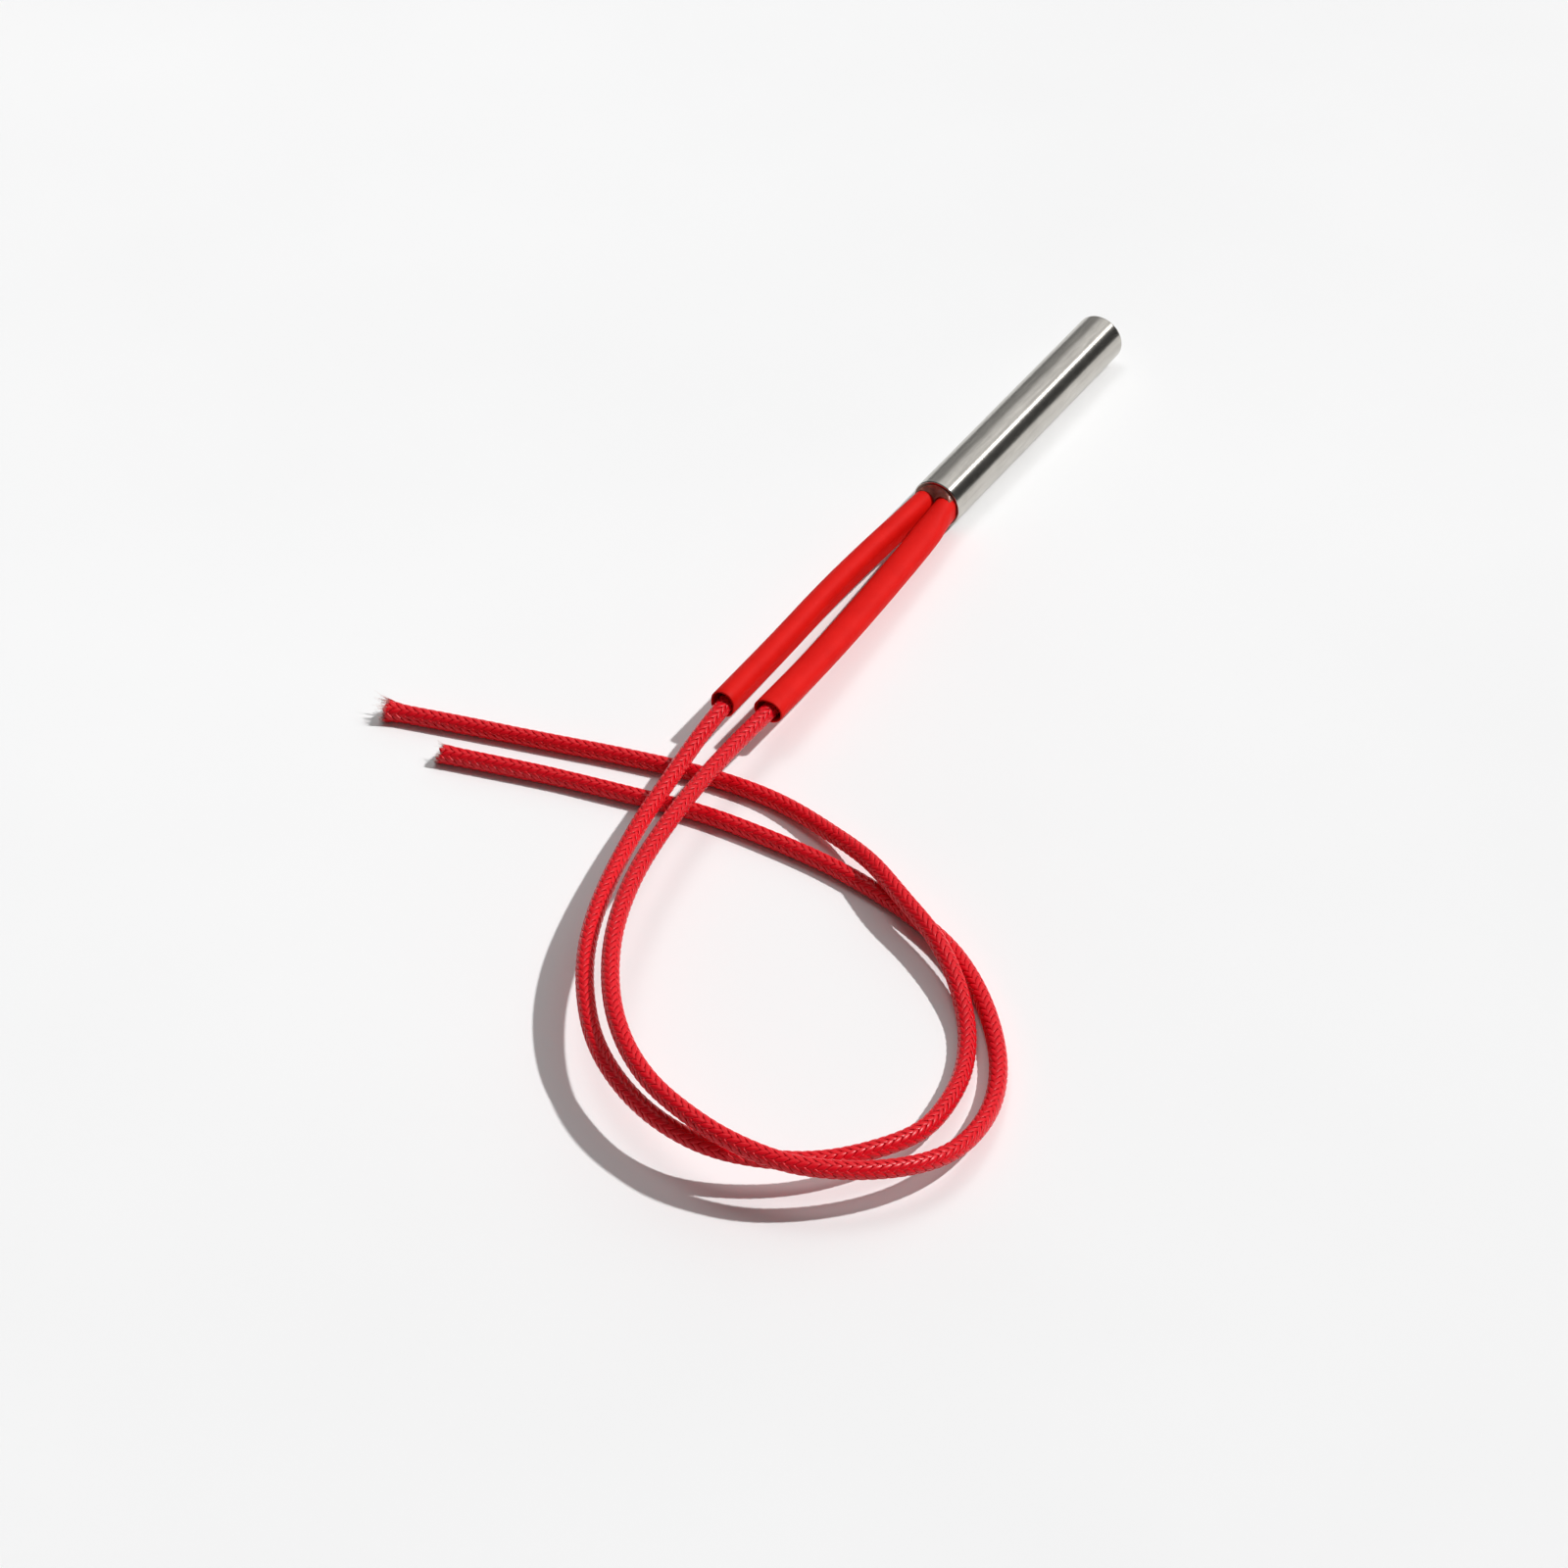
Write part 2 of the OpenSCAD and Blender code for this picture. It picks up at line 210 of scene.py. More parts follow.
# Routes, in millimetres from the mouth, as in the part's source
HALF = 20.0
AXIS_Z = 3.0
LEAD_Y = 1.243
SLEEVE_IN = 3.4
LEAD_IN = 4.9
SLEEVE_ROUTE = {
    "a": [(-2.4, 1.3, 3.1), (-11.7, 1.5, 3.4), (-21.1, 1.4, 3.8), (-33.5, 0.9, 4.2), (-45.4, 0.5, 4.7)],
    "b": [(-2.4, -1.4, 3.1), (-11.3, -2.4, 3.2), (-22.6, -3.3, 3.6), (-33.6, -4, 4.2), (-44.1, -4.4, 4.9)],
}
FREE_ROUTE = {
    "a": [
        (-50.3, 0.1, 4.6), (-54.2, -0.4, 4.5), (-59.4, -1.2, 4.4), (-64.2, -1.9, 4.3),
        (-69.9, -3.2, 4.5), (-75.8, -4.8, 4.7), (-81.3, -6.7, 4.9), (-86.6, -9.2, 5),
        (-91.6, -12.5, 5.1), (-96.2, -16.6, 5), (-99.7, -21.6, 4.9), (-102.1, -27.8, 4.8),
        (-102.3, -33.5, 4.4), (-100.7, -38, 3.9), (-97.8, -42.5, 3.4), (-93.2, -46.4, 3),
        (-88.3, -48.7, 2.5), (-82.6, -48.6, 1.9), (-76.7, -47, 1.1), (-71.8, -44.4, 1.1),
        (-67.9, -41.1, 1.9), (-63.9, -36.2, 2.8), (-61, -30.9, 3.2), (-57.4, -25, 2.8),
        (-54.4, -18.5, 1.6), (-52.3, -10.4, 1), (-52.6, -2.3, 1), (-54.3, 6.5, 1),
        (-56.6, 15.5, 1), (-58.9, 24.5, 1), (-61.3, 33.5, 1),
    ],
    "b": [
        (-50.1, -4.4, 5.1), (-58.9, -5, 5.7), (-67.6, -6.2, 6.3), (-76.3, -8.1, 6.8),
        (-84.7, -11.3, 7.1), (-89.7, -14.2, 7.2), (-94.3, -17.8, 7.3), (-97.9, -21.8, 7.3),
        (-100.4, -26.1, 7.2), (-101.8, -30.5, 7.1), (-102.5, -34.5, 6.9), (-102.3, -38.4, 6.4),
        (-101.5, -42, 5.9), (-99.8, -45.2, 5.4), (-97.5, -48.1, 4.8), (-94.5, -50.7, 4.1),
        (-90.6, -52.6, 3.2), (-85, -53, 2.1), (-79.6, -51.9, 1.3), (-74.7, -49.6, 1),
        (-70.4, -46.4, 1), (-66.2, -42.2, 1), (-62.9, -37.5, 1), (-60.8, -32.4, 1),
        (-59.3, -26.9, 1), (-58.3, -21, 1), (-57.9, -13.6, 1), (-58.1, -5, 1),
        (-59.6, 3.8, 1), (-61.3, 12.5, 1), (-62.8, 18.5, 1), (-64.3, 24.5, 1),
    ],
}
SIDE = {"a": 1.0, "b": -1.0}
FINE_STEP = 0.1
CURVE_STEP = 0.25
CURVE_EASE = 5


def inside(depth, y):
    return (depth - HALF, y, AXIS_Z)


def outside(route):
    return [(x - HALF, y, z) for x, y, z in route]


def spline(points, step):
    """A smooth curve through points, as evenly spaced points."""
    p = np.array(points, float)
    gaps = np.linalg.norm(np.diff(p, axis=0), axis=1)
    t = np.concatenate([[0.0], np.cumsum(gaps)])
    slope = np.diff(p, axis=0) / gaps[:, None]
    m = np.empty_like(p)
    m[0], m[-1] = slope[0], slope[-1]
    before, after = gaps[:-1, None], gaps[1:, None]
    m[1:-1] = (slope[1:] * before + slope[:-1] * after) / (before + after)
    fine = np.linspace(0.0, t[-1], int(t[-1] / FINE_STEP) + 2)
    i = np.clip(np.searchsorted(t, fine, side="right") - 1, 0, len(gaps) - 1)
    h = gaps[i][:, None]
    u = ((fine - t[i]) / gaps[i])[:, None]
    dense = (
        (2 * u**3 - 3 * u**2 + 1) * p[i] + (u**3 - 2 * u**2 + u) * h * m[i]
        + (3 * u**2 - 2 * u**3) * p[i + 1] + (u**3 - u**2) * h * m[i + 1]
    )
    run = np.concatenate([[0.0], np.cumsum(np.linalg.norm(np.diff(dense, axis=0), axis=1))])
    count = int(round(run[-1] / step)) + 1
    even = np.linspace(0.0, run[-1], count)
    return np.stack([np.interp(even, run, dense[:, k]) for k in range(3)], axis=1)


def smoothed(points, reach):
    """The same curve with small kinks eased, its ends kept."""
    span = np.arange(-3 * reach, 3 * reach + 1)
    weight = np.exp(-0.5 * (span / reach) ** 2)
    weight /= weight.sum()
    first = 2 * points[0] - points[3 * reach:0:-1]
    last = 2 * points[-1] - points[-2:-3 * reach - 2:-1]
    wide = np.concatenate([first, points, last])
    return np.stack([np.convolve(wide[:, k], weight, mode="valid") for k in range(3)], axis=1)


def carried_frames(points):
    """Tangents and two cross directions that turn as little as possible along the curve."""
    tangent = np.gradient(points, axis=0)
    tangent /= np.linalg.norm(tangent, axis=1)[:, None]
    side = np.cross((0.0, 0.0, 1.0), tangent[0])
    side /= np.linalg.norm(side)
    sides = []
    for t in tangent:
        side = side - t * side.dot(t)
        side = side / np.linalg.norm(side)
        sides.append(side)
    sides = np.array(sides)
    return tangent, sides, np.cross(tangent, sides)


class Curve:
    """A centreline in millimetres that can be asked for a place and frame at any length along it."""

    def __init__(self, points):
        self.points = points
        self.s = np.concatenate([[0.0], np.cumsum(np.linalg.norm(np.diff(points, axis=0), axis=1))])
        self.tangent, self.side, self.up = carried_frames(points)
        self.length = self.s[-1]

    def at(self, s, what="points"):
        values = getattr(self, what)
        return np.stack([np.interp(s, self.s, values[:, k]) for k in range(3)], axis=-1)


def curve_through(route):
    return Curve(smoothed(spline(route, CURVE_STEP), CURVE_EASE))


class Shell:
    """Collects vertices (millimetres), faces and a per-vertex number for one mesh."""

    def __init__(self):
        self.verts, self.faces, self.marks, self.mats = [], [], [], []
        self.count = 0

    def add(self, verts, faces, mark=0.0, mat=0):
        verts = np.asarray(verts, float).reshape(-1, 3)
        self.verts.append(verts)
        self.faces.extend([tuple(int(v) + self.count for v in f) for f in faces])
        self.mats.extend([mat] * len(faces))
        self.marks.append(np.broadcast_to(np.asarray(mark, float), (len(verts),)).copy())
        self.count += len(verts)

    def grid(self, rings, mark=0.0, capped=True, mat=0):
        """A tube through rings, an array of shape (rings, sides, 3), with both ends closed if capped."""
        rings = np.asarray(rings, float)
        n, k = rings.shape[:2]
        i, j = np.meshgrid(np.arange(n - 1), np.arange(k), indexing="ij")
        a, b = i * k + j, i * k + (j + 1) % k
        faces = np.stack([a, b, b + k, a + k], axis=-1).reshape(-1, 4).tolist()
        if capped:
            faces.append(list(range(k - 1, -1, -1)))
            faces.append([(n - 1) * k + q for q in range(k)])
        self.add(rings, faces, mark, mat)

    def make(self, name, materials):
        mesh = bpy.data.meshes.new(name)
        verts = np.concatenate(self.verts) * MM
        mesh.from_pydata(verts.tolist(), [], self.faces)
        mesh.polygons.foreach_set("use_smooth", [True] * len(mesh.polygons))
        mesh.polygons.foreach_set("material_index", self.mats)
        mark = mesh.attributes.new("mark", "FLOAT", "POINT")
        mark.data.foreach_set("value", np.concatenate(self.marks).astype(np.float32))
        for mat in materials:
            mesh.materials.append(mat)
        mesh.update()
        made = bpy.data.objects.new(name, mesh)
        bpy.context.scene.collection.objects.link(made)
        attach(made, "root")
        return made


def circle(n):
    a = (np.arange(n) / n) * 2 * math.pi
    return np.cos(a), np.sin(a)


# Leads: sixteen flat strands braided two over, two under, round a core
CARRIERS = 8
LAY = 7.76
BRAID_R = 0.872
WAVE = 0.032
# Over-and-under cycles of a strand in one lay, and where in a cycle each hand's first strand starts
CYCLES = 4
PHASE = {1: 0.125, -1: 0.375}
STRAND_W = 0.60
# Width of a strand against the full one: its mean, and its swing from under to over
WIDTH_MEAN = 0.93
WIDTH_SWING = 0.07
# Cross-section of a strand: across as a share of its width, outwards in millimetres
STRAND = np.array([
    (-0.5, -0.04), (-0.29, 0.020), (0.0, 0.044), (0.29, 0.020), (0.5, -0.04), (0.0, -0.08),
])
# Places in one over-and-under cycle, more of them where the strand lies on top
CYCLE = np.array([-0.25, -0.15, -0.05, 0.05, 0.15, 0.25, 0.5])
BRAID_HIDDEN = 3.0
FLOOR_GAP = 0.02
LOOSE = 0.09
LOOSE_RUN = 14.0
OPEN_RUN = 2.2
OPEN_POWER = 1.6
# Shortest piece of strand that is drawn before the cut
LAST_GAP = 0.05


def flare(s, end, amount):
    """How much wider the braid is than elsewhere: loose over its last stretch, open at the very end."""
    loose = np.clip((s - (end - LOOSE_RUN)) / LOOSE_RUN, 0.0, 1.0)
    u = np.clip((s - (end - OPEN_RUN)) / OPEN_RUN, 0.0, 1.0)
    return 1.0 + LOOSE * np.sqrt(loose) + amount * u**OPEN_POWER


def cut_at(curve, angle, slant):
    """Length at which a slanted cut meets the braid at an angle round it, shortest on top."""
    return curve.length - slant * (1.0 + math.sin(angle))


def braid(shell, curve, start, amount, slant):
    """All strands of both hands, from a length along the curve to the slanted cut."""
    for hand in (1, -1):
        for k in range(CARRIERS):
            end = cut_at(curve, 2 * math.pi * (k / CARRIERS + hand * curve.length / LAY), slant)
            shift = hand * k / 2 + PHASE[hand]
            first = math.floor(CYCLES * start / LAY + shift)
            last = math.ceil(CYCLES * end / LAY + shift)
            u = (np.arange(first, last + 1)[:, None] + CYCLE[None, :]).ravel()
            s = (u - shift) * LAY / CYCLES
            keep = (s > start) & (s < end - LAST_GAP)
            s = np.concatenate([s[keep], [end]])
            u = CYCLES * s / LAY + shift
            angle = 2 * math.pi * (k / CARRIERS + hand * s / LAY)
            rise = np.cos(2 * math.pi * u)
            spread = flare(s, end, amount)
            radius = (BRAID_R + WAVE * rise) * spread
            p, t = curve.at(s), curve.at(s, "tangent")
            e1, e2 = curve.at(s, "side"), curve.at(s, "up")
            out = np.cos(angle)[:, None] * e1 + np.sin(angle)[:, None] * e2
            around = -np.sin(angle)[:, None] * e1 + np.cos(angle)[:, None] * e2
            slope = hand * 2 * math.pi * BRAID_R / LAY
            across = around - slope * t
            across /= np.linalg.norm(across, axis=1)[:, None]
            width = STRAND_W * (WIDTH_MEAN + WIDTH_SWING * rise) * spread**0.5
            rings = (
                p[:, None, :] + (radius[:, None] + STRAND[None, :, 1])[:, :, None] * out[:, None, :]
                + (width[:, None] * STRAND[None, :, 0])[:, :, None] * across[:, None, :]
            )
            rings[:, :, 2] = np.maximum(rings[:, :, 2], FLOOR_GAP)
            # How high each point of the strand lies, which the braid material turns into painted shade under
            # and a painted lighter crown over
            mark = np.repeat(0.5 + 0.5 * rise, len(STRAND))
            shell.grid(rings if hand < 0 else rings[:, ::-1], mark)


def tube_rings(curve, s, radius, sides):
    c, n = circle(sides)
    p, e1, e2 = curve.at(s), curve.at(s, "side"), curve.at(s, "up")
    r = np.broadcast_to(np.asarray(radius, float), s.shape)[:, None, None]
    return p[:, None, :] + r * (c[None, :, None] * e1[:, None, :] + n[None, :, None] * e2[:, None, :])


# Red braid: varnished glass fibre, with painted shade where a strand dips under the others and a painted
# lighter crown where it lies on top
braid_mat, bt, bb = material("red_braid")
crown_shading = node(bt, "ShaderNodeAttribute", {"attribute_name": "mark"}).outputs["Fac"]
mottle = noise(bt, object_mm(bt), 1.7, 4.0)
fibre = noise(bt, object_mm(bt), 22.0, 2.0)
# Strand height gives painted shade and painted light, the noise gives a real mottle
tone = math_node(bt, "ADD", math_node(bt, "MULTIPLY", crown_shading, 0.75), math_node(bt, "MULTIPLY", mottle, 0.5))
set_input(bt, bb.inputs["Base Color"], ramp(bt, tone, [
    (0.1, (0.56, 0.001, 0.006)), (0.55, (0.68, 0.002, 0.009)), (1.0, (0.74, 0.003, 0.012))]))
set_input(bt, bb.inputs["Roughness"], map_range(bt, fibre, 0.3, 0.7, 0.27, 0.37))
set_input(bt, bb.inputs["Normal"], bump(bt, fibre, 0.25, 0.015))
bb.inputs["Specular IOR Level"].default_value = 0.27

# Fibre ends: red at the root, pale at the tip
fray_mat, yt, yb = material("frayed_fibre")
tip = node(yt, "ShaderNodeAttribute", {"attribute_name": "mark"}).outputs["Fac"]
tint = math_node(yt, "ADD", tip, math_node(yt, "MULTIPLY", noise(yt, object_mm(yt), 6.0), 0.3))
set_input(yt, yb.inputs["Base Color"], ramp(yt, tint, [
    (0.15, (0.62, 0.02, 0.03)), (0.42, (0.80, 0.36, 0.35)), (0.85, (0.86, 0.72, 0.69))]))
yb.inputs["Roughness"].default_value = 0.45

# Glass wrap inside the braid, coloured dark grey-brown as painted shade inside the cut end, and the wires in
# it
wrap_shade_mat, pt, pb = material("glass_wrap_painted_shade")
set_input(pt, pb.inputs["Base Color"], ramp(pt, noise(pt, object_mm(pt), 5.0), [
    (0.3, (0.12, 0.09, 0.08)), (0.7, (0.30, 0.24, 0.22))]))
pb.inputs["Roughness"].default_value = 0.75
wire_mat, it, ib = material("wire_ends")
set_input(it, ib.inputs["Base Color"], ramp(it, noise(it, object_mm(it), 9.0), [
    (0.3, (0.16, 0.12, 0.10)), (0.7, (0.36, 0.29, 0.24))]))
ib.inputs["Metallic"].default_value = 1.0
ib.inputs["Roughness"].default_value = 0.4

FLARE = {"a": 0.30, "b": 0.08}
SLANT = {"a": 0.12, "b": 0.34}
# How far a lead lies off the middle of its sleeve at the sleeve's open end
SAG = {"a": (0.0, -0.12, -0.25), "b": (0.0, 0.04, -0.14)}
SAG_RUN = 26.0
# Length from a lead's inner end within which the sag comes in
SAG_CLEAR = 20.0


def lead_curve(key):
    y = SIDE[key] * LEAD_Y
    route = [inside(LEAD_IN, y), inside(SLEEVE_IN, y), inside(0.0, y)]
    route += outside(SLEEVE_ROUTE[key]) + outside(FREE_ROUTE[key])
    return curve_through(route)


def sagged(curve, mouth, amount):
    """The curve eased off its own line near a length along it, as a lead lies low in its sleeve."""
    off = np.exp(-0.5 * ((curve.s - mouth) / (SAG_RUN / 2)) ** 2)
    off *= np.clip(curve.s / SAG_CLEAR, 0.0, 1.0)
    return Curve(curve.points + off[:, None] * np.array(amount))


# Fibre tips at a cut end: how far they reach past it, and how much longer a stray hair is
TIP_REACH = {"a": 0.66, "b": 0.42}
HAIR = 2.4
HAIR_CHANCE = {"a": 0.16, "b": 0.05}
FIBRES = 16
FIBRE_R = 0.024
FIBRE_TAPER = 0.55
ROOT = 0.3
# Spread of the strands at a cut end: turn round it, share of the reach, lean
STRAND_TURN = 0.1
STRAND_REACH = (0.35, 1.0)
STRAND_LEAN = 0.3
# Spread of the fibres in a strand: turn, depth, share of the reach, opening, curl and paleness
FIBRE_TURN = 0.18
FIBRE_DEPTH = (-0.07, 0.04)
FIBRE_REACH = (0.4, 1.2)
FIBRE_OPENING = (0.5, 1.8)
FIBRE_STRAY = (-0.15, 0.25)
FIBRE_CURL = 0.6
FIBRE_PALE = (0.5, 1.0)
SIDEWAYS = 0.5


def end_frame(curve):
    end = curve.length
    return curve.at(end), curve.at(end, "tangent"), curve.at(end, "side"), curve.at(end, "up")


def fray(shell, curve, key):
    """Short fibre tips round the cut end, with a few longer hairs on its upper side."""
    p, t, e1, e2 = end_frame(curve)
    amount = FLARE[key]
    u = np.linspace(0.0, 1.0, 6)[:, None]
    c, n = circle(4)
    for strand in range(2 * CARRIERS):
        base_angle = math.pi * strand / CARRIERS + rng.uniform(-STRAND_TURN, STRAND_TURN)
        strand_reach = rng.uniform(*STRAND_REACH) * TIP_REACH[key]
        lean = rng.uniform(-STRAND_LEAN, STRAND_LEAN)
        for _ in range(FIBRES):
            angle = base_angle + rng.uniform(-FIBRE_TURN, FIBRE_TURN)
            radius = (BRAID_R + rng.uniform(*FIBRE_DEPTH)) * (1.0 + LOOSE + amount)
            out = math.cos(angle) * e1 + math.sin(angle) * e2
            around = -math.sin(angle) * e1 + math.cos(angle) * e2
            reach = strand_reach * rng.uniform(*FIBRE_REACH)
            if rng.random() < HAIR_CHANCE[key] * (1.0 + math.sin(angle)):
                reach *= HAIR
            opening = amount * rng.uniform(*FIBRE_OPENING) + rng.uniform(*FIBRE_STRAY)
            curl = rng.uniform(-FIBRE_CURL, FIBRE_CURL)
            back = SLANT[key] * (1.0 + math.sin(angle)) + ROOT
            line = p + radius * out - back * t + (ROOT + reach) * u * t
            line = line + reach * (opening * u**1.5 * out + (lean * u + curl * u**2) * SIDEWAYS * around)
            line[:, 2] = np.maximum(line[:, 2], FLOOR_GAP + FIBRE_R)
            thick = FIBRE_R * (1.0 - FIBRE_TAPER * u[:, 0])
            rings = line[:, None, :] + thick[:, None, None] * (
                c[None, :, None] * out[None, None, :] + n[None, :, None] * around[None, None, :])
            shell.grid(rings, np.repeat(u[:, 0] * rng.uniform(*FIBRE_PALE), 4))


# Glass wrap and wires inside the braid
WRAP_R = 0.66
WRAP_RECESS = 0.16
WIRE_PITCH_R = 0.31
WIRE_R = 0.14
WIRE_LENGTH = 2.5
WIRES = 7
# How far a wire stands out of the wrap, and the small cone at its tip
WIRE_UNEVEN = (0.02, 0.12)
WIRE_CONE = 0.03
WIRE_TIP = 0.8
WRAP_SIDES = 20
WIRE_SIDES = 10


def wire_bundle(shell, curve, slant):
    """Glass wrap and seven wires, cut along the braid's slant and a little short of it."""
    p, t, e1, e2 = end_frame(curve)
    face = curve.length - slant - WRAP_RECESS
    rings = tube_rings(curve, np.linspace(face - WIRE_LENGTH, face, 6), WRAP_R, WRAP_SIDES)
    tilt = slant / BRAID_R
    rings[-1] -= tilt * WRAP_R * circle(WRAP_SIDES)[1][:, None] * t
    shell.grid(rings, mat=0)
    c, n = circle(WIRE_SIDES)
    for k in range(WIRES):
        r = 0.0 if k == 0 else WIRE_PITCH_R
        a = k * math.pi / 3
        centre = p + r * (math.cos(a) * e1 + math.sin(a) * e2)
        reach = rng.uniform(*WIRE_UNEVEN) - slant - WRAP_RECESS - tilt * r * math.sin(a)
        steps = np.array([reach - WIRE_LENGTH, reach - WIRE_CONE, reach])
        wire_r = np.array([WIRE_R, WIRE_R, WIRE_TIP * WIRE_R])
        rings = centre[None, None, :] + steps[:, None, None] * t + wire_r[:, None, None] * (
            c[None, :, None] * e1 + n[None, :, None] * e2)
        shell.grid(rings, mat=1)


# Sleeves: squeezed side by side in the mouth, nearly round further out
SLEEVE_D = 3.1
SLEEVE_WALL = 0.2
SQUEEZE_W = 2.456
SQUEEZE_RUN = {"a": 46.0, "b": 6.0}
# How far a sleeve leans out where it has just left the mouth
LEAN_OUT = {"a": (0.0, 0.0, -0.05), "b": (0.0, -0.2, -0.12)}
LEAN_PEAK = 5.0
LEAN_SPAN = 4.0
# Width of each sleeve where it has left the squeeze: one stays upright, the other lies flatter than round
OPEN_W = {"a": 2.85, "b": 3.45}
SLEEVE_SIDES = 40
SLEEVE_STEP = 0.5
# Rounding of the open end's edges
LIP = 0.04
LIP_BACK = 0.06

sleeve_mat, st, sb = material("red_sleeve")
cloud = noise(st, object_mm(st), 0.35, 4.0)
grain = noise(st, object_mm(st), 9.0, 3.0)
set_input(st, sb.inputs["Base Color"], ramp(st, cloud, [
    (0.3, (0.66, 0.005, 0.003)), (0.7, (0.73, 0.008, 0.005))]))
set_input(st, sb.inputs["Roughness"], map_range(st, grain, 0.3, 0.7, 0.52, 0.62))
set_input(st, sb.inputs["Normal"], bump(st, grain, 0.12, 0.03))
sb.inputs["Specular IOR Level"].default_value = 0.10


def stadium(w, h, sides):
    """An upright stadium, or an oval where it is wider than it is tall."""
    a = (np.arange(sides) + 0.5) * 2 * math.pi / sides
    end_h = min(w, h)
    straight = (h - end_h) / 2
    return np.stack([w / 2 * np.cos(a), end_h / 2 * np.sin(a) + np.sign(np.sin(a)) * straight], axis=1)


def sleeve(key):
    y = SIDE[key] * LEAD_Y
    curve = curve_through([inside(SLEEVE_IN, y), inside(0.0, y)] + outside(SLEEVE_ROUTE[key]))
    s = np.arange(0.0, curve.length, SLEEVE_STEP)
    s = np.concatenate([s[:-1], [curve.length]])
    p, t = curve.at(s), curve.at(s, "tangent")
    lean = np.exp(-0.5 * ((-HALF - p[:, 0] - LEAN_PEAK) / LEAN_SPAN) ** 2)
    p = p + lean[:, None] * np.array(LEAN_OUT[key])
    across = np.cross((0.0, 0.0, 1.0), t)
    across /= np.linalg.norm(across, axis=1)[:, None]
    up = np.cross(t, across)
    run = np.clip((-HALF - p[:, 0]) / SQUEEZE_RUN[key], 0.0, 1.0)
    squeeze = 1.0 - run * run * (3.0 - 2.0 * run)
    width = OPEN_W[key] + (SQUEEZE_W - OPEN_W[key]) * squeeze
    tall = np.where(width < SLEEVE_D, width + math.pi * (SLEEVE_D - width) / 2, 2 * SLEEVE_D - width)

    def skin_rings(inset):
        rings = []
        for i in range(len(s)):
            q = stadium(width[i] - 2 * inset, tall[i] - 2 * inset, SLEEVE_SIDES)
            rings.append(p[i] + q[:, :1] * across[i] + q[:, 1:] * up[i])
        return np.array(rings)

    outer, inner = skin_rings(0.0), skin_rings(SLEEVE_WALL)
    lip_out, lip_in = skin_rings(LIP), skin_rings(SLEEVE_WALL - LIP)
    outer[-1] -= LIP_BACK * t[-1]
    inner[-1] -= LIP_BACK * t[-1]
    loop = np.concatenate([outer, lip_out[-1:], lip_in[-1:], inner[::-1], outer[:1]])
    shell = Shell()
    shell.grid(loop, capped=False)
    made = shell.make("sleeve_" + key + "_tube", [sleeve_mat])
    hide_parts("sleeve_" + key)
    return made, curve.length


# Core under the braid: as thick as the lead inside the sleeve, thinner under the strands
CORE_R = 0.90
CORE_THINNER = 0.09
CORE_SHORT = 0.3
CORE_STEP = 0.8
CORE_SIDES = 14
PATH_POINTS = 126

for key in ("a", "b"):
    sleeve_piece, sleeve_run = sleeve(key)
    sleeve_mouth = sleeve_run + LEAD_IN - SLEEVE_IN
    curve = sagged(lead_curve(key), sleeve_mouth, SAG[key])
    braid_from = sleeve_mouth - BRAID_HIDDEN
    shell = Shell()
    core_end = curve.length - CORE_SHORT - 2 * SLANT[key]
    s = np.concatenate([np.arange(0.0, core_end, CORE_STEP), [core_end]])
    covered = np.clip(s - braid_from, 0.0, 1.0)
    # The core keeps mark 0, so it takes the braid's deepest red: painted shade between the strands
    shell.grid(tube_rings(curve, s, CORE_R - CORE_THINNER * covered, CORE_SIDES))
    braid(shell, curve, braid_from, FLARE[key], SLANT[key])
    lead = shell.make("lead_" + key + "_braid", [braid_mat])
    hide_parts("lead_" + key)

    ends = Shell()
    fray(ends, curve, key)
    fray_piece = ends.make("fray_" + key, [fray_mat])
    wires = Shell()
    wire_bundle(wires, curve, SLANT[key])
    wire_piece = wires.make("wire_end_" + key, [wrap_shade_mat, wire_mat])

    steps = np.linspace(0.0, curve.length, PATH_POINTS)
    path = [tuple(float(c) * MM for c in q) for q in curve.at(steps)]

# CAD nodes: materials
# Painted shade on the mouth's rim and bore, dark brown in the recess: distances from the axis, and along it,
# where that fades
BORE_SHADE_R = (2.80, 2.92)
BORE_SHADE_X = (-19.0, -18.0)

steel_mat, mt, mb = material("ground_steel")
lines = noise(mt, object_mm(mt, (1000.0, 60.0, 60.0)), 14.0, 4.0, 0.7)
smudge = noise(mt, object_mm(mt), 0.25, 3.0)
streak = noise(mt, object_mm(mt, (110.0, 1000.0, 1000.0)), 2.6, 3.0)
steel_tone = math_node(
    mt, "ADD", math_node(mt, "MULTIPLY", smudge, 0.4), math_node(mt, "MULTIPLY", streak, 0.6))
x_mm, y_mm, z_mm = node(mt, "ShaderNodeSeparateXYZ", Vector=object_mm(mt)).outputs
up_mm = math_node(mt, "SUBTRACT", z_mm, AXIS_Z)
off_axis = math_node(mt, "SQRT", math_node(
    mt, "ADD", math_node(mt, "MULTIPLY", y_mm, y_mm), math_node(mt, "MULTIPLY", up_mm, up_mm)))
unshaded = math_node(mt, "MAXIMUM", map_range(mt, off_axis, *BORE_SHADE_R, 0.0, 1.0),
                      map_range(mt, x_mm, *BORE_SHADE_X, 0.0, 1.0))
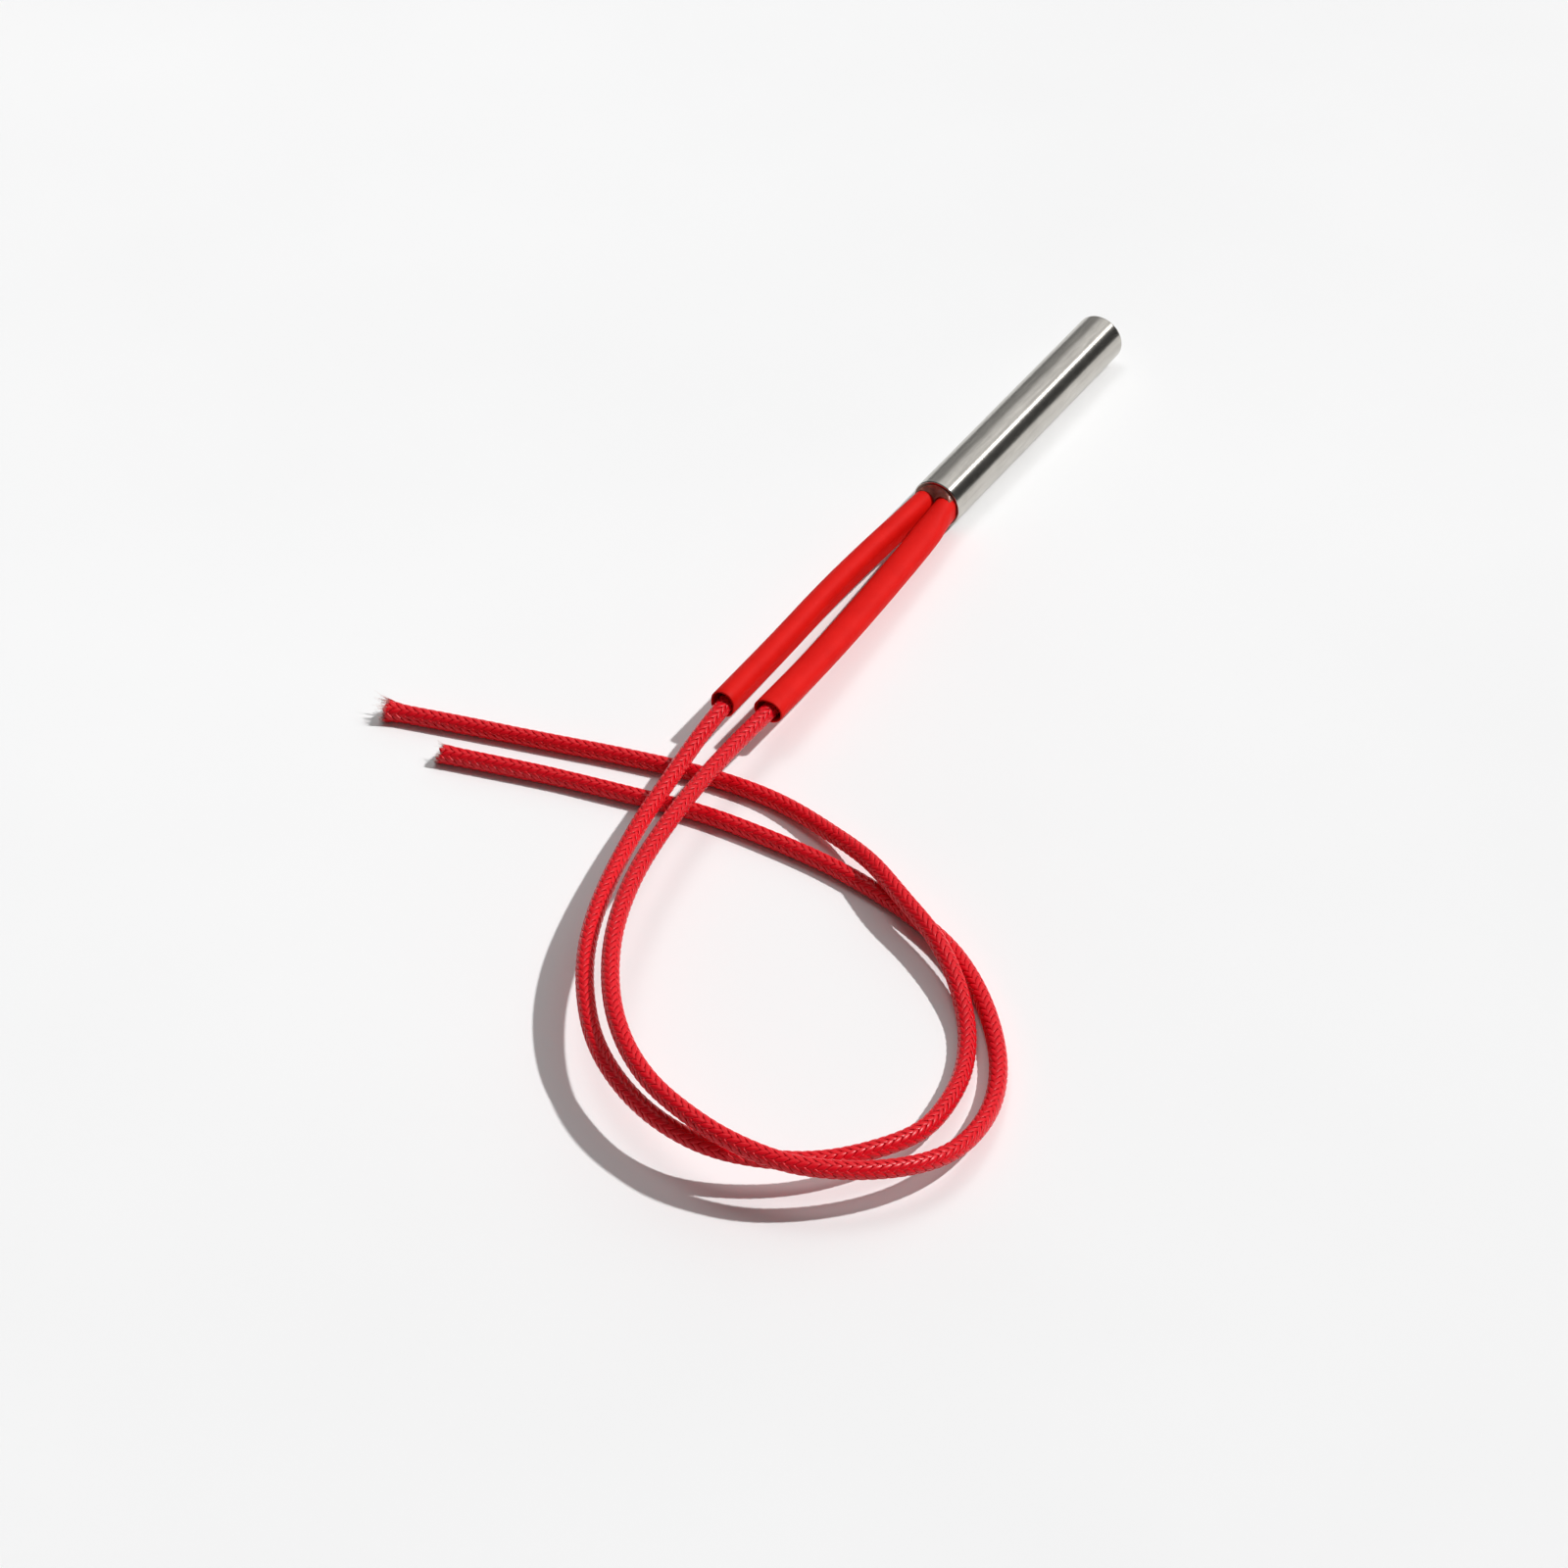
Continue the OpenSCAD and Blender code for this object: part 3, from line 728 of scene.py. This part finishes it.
# Where the mask is low, the ramp's first stop paints the rim and bore dark brown as painted shade
set_input(mt, mb.inputs["Base Color"], ramp(mt, math_node(mt, "MULTIPLY", steel_tone, unshaded), [
    (0.10, (0.17, 0.10, 0.08)), (0.28, (0.49, 0.467, 0.428)), (0.36, (0.49, 0.467, 0.428)),
    (0.64, (0.61, 0.584, 0.538))]))
mb.inputs["Metallic"].default_value = 1.0
set_input(mt, mb.inputs["Roughness"], map_range(mt, lines, 0.3, 0.7, 0.17, 0.25))
mb.inputs["Anisotropic"].default_value = 0.8
mb.inputs["Anisotropic Rotation"].default_value = 0.25
set_input(mt, mb.inputs["Tangent"], node(
    mt, "ShaderNodeTangent", {"direction_type": "RADIAL", "axis": "X"}).outputs[0])
set_input(mt, mb.inputs["Normal"], bump(mt, lines, 0.10, 0.01))

weld_mat, et, eb = material("weld_steel")
ripple = noise(et, object_mm(et), 4.0, 3.0)
set_input(et, eb.inputs["Base Color"], ramp(et, ripple, [
    (0.3, (0.32, 0.27, 0.20)), (0.5, (0.50, 0.47, 0.43)), (0.7, (0.40, 0.38, 0.42))]))
eb.inputs["Metallic"].default_value = 1.0
eb.inputs["Roughness"].default_value = 0.34
set_input(et, eb.inputs["Normal"], bump(et, ripple, 0.4, 0.05))

seal_mat, lt, lb = material("cast_seal")
lump = noise(lt, object_mm(lt), 1.4, 3.0)
set_input(lt, lb.inputs["Base Color"], ramp(lt, lump, [
    (0.3, (0.32, 0.11, 0.08)), (0.7, (0.48, 0.20, 0.15))]))
lb.inputs["Roughness"].default_value = 0.16
set_input(lt, lb.inputs["Normal"], bump(lt, lump, 0.5, 0.2))


# Meniscus: the cast seal climbs a little up the sleeves and the bore's wall
SEAL_R = 2.57
SEAL_RECESS = 0.4
SEAL_SKIN = 0.06
CLIMB = 1.0
CLIMB_RUN = 0.42
WALL_CLIMB = 0.29
WALL_RUN = 0.22
MENISCUS_SIDES = 96
MENISCUS_RINGS = 26
MENISCUS_MIDDLE = 0.03


def off_sleeve(y, z):
    """Distance from the nearer squeezed sleeve's outline, negative inside it."""
    straight = math.pi * (SLEEVE_D - SQUEEZE_W) / 4
    up = np.maximum(np.abs(z - AXIS_Z) - straight, 0.0)
    return np.minimum(np.hypot(y - LEAD_Y, up), np.hypot(y + LEAD_Y, up)) - SQUEEZE_W / 2


def meniscus_rings():
    """Rings from the seal's middle to the bore's wall, and a last one just inside the seal."""
    c, n = circle(MENISCUS_SIDES)
    rings = []
    for r in np.linspace(MENISCUS_MIDDLE, 1.0, MENISCUS_RINGS) * SEAL_R:
        y, z = r * c, AXIS_Z + r * n
        off = off_sleeve(y, z)
        climb = CLIMB * np.exp(-np.maximum(off, 0.0) / CLIMB_RUN) * np.clip(1.0 + off / SLEEVE_WALL, 0.0, 1.0)
        climb += WALL_CLIMB * math.exp(-(SEAL_R - r) / WALL_RUN)
        rings.append(np.stack([SEAL_RECESS - HALF - SEAL_SKIN - climb, y, z], axis=1))
    rings.append(np.stack([np.full(MENISCUS_SIDES, SEAL_RECESS - HALF + SEAL_SKIN), y, z], axis=1))
    return np.array(rings)[:, ::-1]


meniscus_shell = Shell()
meniscus_shell.grid(meniscus_rings())
meniscus = meniscus_shell.make("seal_meniscus", [seal_mat])


def rough_solid(name, low, high, scale, rough, bump_mm, metallic=0.0):
    mat, tree, bsdf = material(name)
    speck = noise(tree, object_mm(tree), scale, 5.0, 0.6)
    set_input(tree, bsdf.inputs["Base Color"], ramp(tree, speck, [(0.3, low), (0.7, high)]))
    bsdf.inputs["Metallic"].default_value = metallic
    set_input(tree, bsdf.inputs["Roughness"], map_range(tree, speck, 0.3, 0.7, rough - 0.06, rough + 0.06))
    set_input(tree, bsdf.inputs["Normal"], bump(tree, speck, 0.3, bump_mm))
    return mat


ceramic_mat = rough_solid("fired_ceramic", (0.78, 0.75, 0.68), (0.88, 0.86, 0.81), 3.0, 0.6, 0.02)
magnesia_mat = rough_solid("magnesia", (0.72, 0.70, 0.65), (0.84, 0.83, 0.79), 8.0, 0.85, 0.05)
nichrome_mat = rough_solid("resistance_wire", (0.24, 0.21, 0.18), (0.36, 0.33, 0.28), 6.0, 0.4, 0.01, 1.0)
nickel_mat = rough_solid("nickel", (0.50, 0.48, 0.42), (0.60, 0.58, 0.52), 4.0, 0.32, 0.01, 1.0)
copper_mat = rough_solid("copper_strands", (0.50, 0.28, 0.18), (0.66, 0.42, 0.28), 6.0, 0.35, 0.02, 1.0)

for names, mat in (
    (("sheath", "end_disc"), steel_mat), (("weld_bead",), weld_mat), (("seal_plug",), seal_mat),
    (("far_insulator", "core", "terminal_insulator"), ceramic_mat), (("magnesia_fill",), magnesia_mat),
    (("heating_coil",), nichrome_mat), (("long_pin", "short_pin", "crimp_a", "crimp_b"), nickel_mat),
    (("conductor_a", "conductor_b"), copper_mat),
):
    for name in names:
        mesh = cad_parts[name].data
        mesh.materials.clear()
        mesh.materials.append(mat)
